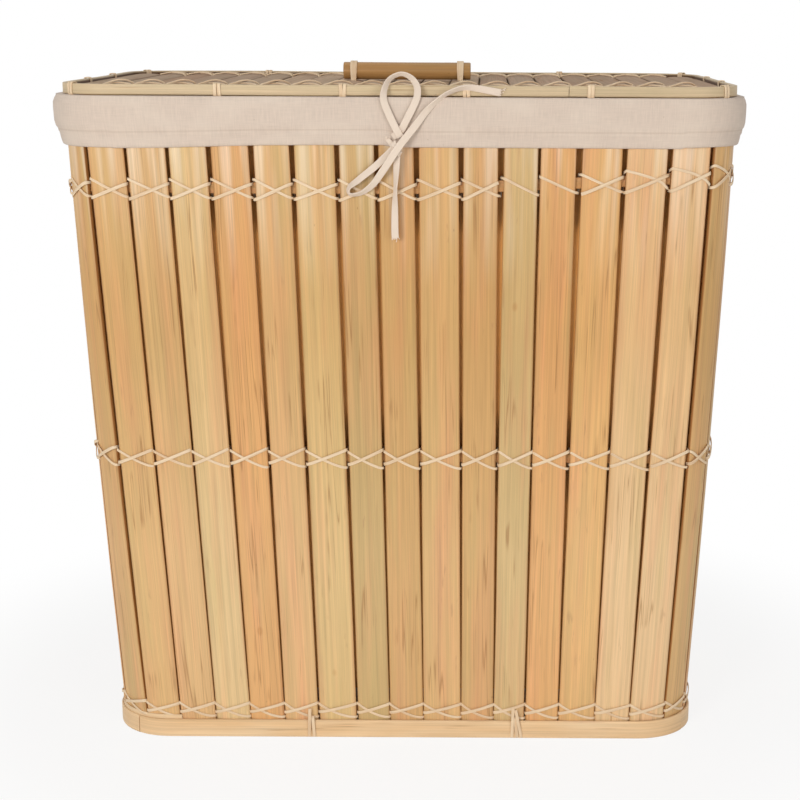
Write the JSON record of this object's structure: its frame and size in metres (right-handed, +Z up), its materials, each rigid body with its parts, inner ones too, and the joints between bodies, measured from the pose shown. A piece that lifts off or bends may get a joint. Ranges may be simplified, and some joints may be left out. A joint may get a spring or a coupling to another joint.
{
  "type": "laundry hamper",
  "caption": "Tapered slatted laundry hamper with a divided cotton liner, a drawstring cuff over the rim and a flat lift-off lid with a cane handle.",
  "frame": {"origin": "on the ground, under the middle of the hamper", "axes": "+Z up, +X to the right along the long front, -Y towards the front with the bow"},
  "size_m": [0.5876, 0.3678, 0.6061],
  "materials": {
    "slat_tan": "satin, natural bamboo",
    "slat_golden": "satin, natural bamboo",
    "slat_pink": "satin, natural bamboo",
    "slat_pale": "satin, natural bamboo",
    "slat_orange": "satin, natural bamboo",
    "slat_peach": "satin, natural bamboo",
    "slat_olive": "satin, natural bamboo",
    "bamboo_hoop": "satin split bamboo",
    "bamboo_backing": "matt split bamboo",
    "lid_slats": "satin split bamboo",
    "plywood": "matt",
    "rattan": "matt peeled strip",
    "cane": "satin, darker bamboo cane",
    "cotton_canvas": "matt plain weave",
    "cotton_tape": "matt woven tape"
  },
  "bodies": {
    "body": {"front_slat_01": "slat_golden", "front_slat_02": "slat_pink", "front_slat_03": "slat_pale", "front_slat_04": "slat_orange", "front_slat_05": "slat_golden", "front_slat_06": "slat_pale", "front_slat_07": "slat_olive", "front_slat_08": "slat_tan", "front_slat_09": "slat_peach", "front_slat_10": "slat_olive", "front_slat_11": "slat_olive", "front_slat_12": "slat_orange", "front_slat_13": "slat_golden", "front_slat_14": "slat_pale", "front_slat_15": "slat_peach", "front_right_corner_slat": "slat_tan", "right_slat_group_01": "slat_golden", "right_slat_group_02": "slat_pale", "back_right_corner_slat": "slat_golden", "back_slat_group_01": "slat_pale", "back_slat_group_02": "slat_golden", "back_slat_group_03": "slat_tan", "back_slat_group_04": "slat_peach", "back_slat_group_05": "slat_pale", "back_left_corner_slat": "slat_pale", "left_slat_group_01": "slat_tan", "left_slat_group_02": "slat_golden", "front_left_corner_slat": "slat_tan", "base_outer_hoop": "bamboo_hoop", "base_inner_hoop": "bamboo_hoop", "floor_panel": "plywood", "lower_backing_hoop": "bamboo_backing", "lower_lacing_falling_strand": "rattan", "lower_lacing_rising_strand": "rattan", "middle_backing_hoop": "bamboo_backing", "middle_lacing_falling_strand": "rattan", "middle_lacing_rising_strand": "rattan", "upper_backing_hoop": "bamboo_backing", "upper_lacing_falling_strand": "rattan", "upper_lacing_rising_strand": "rattan", "rim_outer_hoop": "bamboo_hoop", "rim_inner_hoop": "bamboo_hoop", "liner_bag": "cotton_canvas", "liner_divider": "cotton_canvas", "liner_cuff": "cotton_canvas", "drawstring_knot": "cotton_tape", "drawstring_upper_loop": "cotton_tape", "drawstring_long_bow": "cotton_tape", "drawstring_hanging_tail": "cotton_tape"},
    "lid": {"lid_outer_hoop": "bamboo_hoop", "lid_locating_frame": "bamboo_backing", "lid_panel": "lid_slats", "lid_front_lacing": "rattan", "lid_back_lacing": "rattan", "lid_lashings": "rattan", "handle": "cane", "handle_left_tie": "rattan", "handle_right_tie": "rattan"}
  },
  "joints": [
    {"name": "lid_lift", "type": "slide", "parent": "body", "child": "lid", "axis": [0, 0, 1], "range_m": [0, 0.3]}
  ]
}
